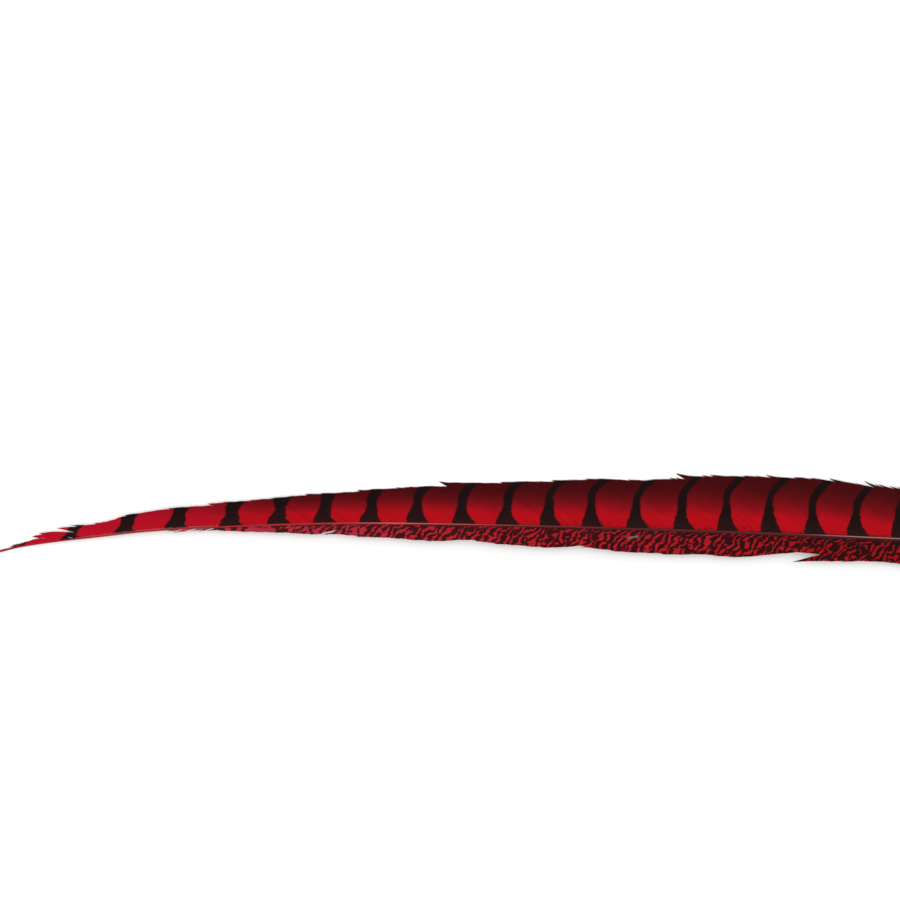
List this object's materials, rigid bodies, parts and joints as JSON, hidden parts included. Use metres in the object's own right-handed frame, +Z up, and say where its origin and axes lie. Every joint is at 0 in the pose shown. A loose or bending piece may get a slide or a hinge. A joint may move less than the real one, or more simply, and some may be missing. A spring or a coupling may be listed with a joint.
{
  "type": "pheasant tail feather",
  "caption": "Long tapering tail feather, dyed red, with a bowed shaft, a wide dark-barred vane, a narrow mottled vane, soft down and a bare quill; lies flat as decoration or craft trim.",
  "frame": {"origin": "on the surface the feather lies on, under the middle of its bounding box", "axes": "+X from the tip of the feather to the quill, +Y to the side of the wide barred vane, +Z up out of the feather's upper face"},
  "size_m": [0.762, 0.0644, 0.011],
  "materials": {
    "shaft_keratin": "smooth horn-like keratin, satin, dyed dark red",
    "barred_vane": "combed keratin barbs hooked into a web, soft satin sheen, bright red shading to maroon, with near-black cross-bars",
    "mottled_vane": "combed keratin barbs hooked into a web, dark maroon with wavy rose-red flecks",
    "down": "loose fluffy down, matte, faded rose red to brown"
  },
  "bodies": {
    "root": {"shaft": "shaft_keratin", "wide_vane": "barred_vane", "narrow_vane": "mottled_vane", "wide_side_down": "down", "narrow_side_down": "down"}
  },
  "joints": []
}
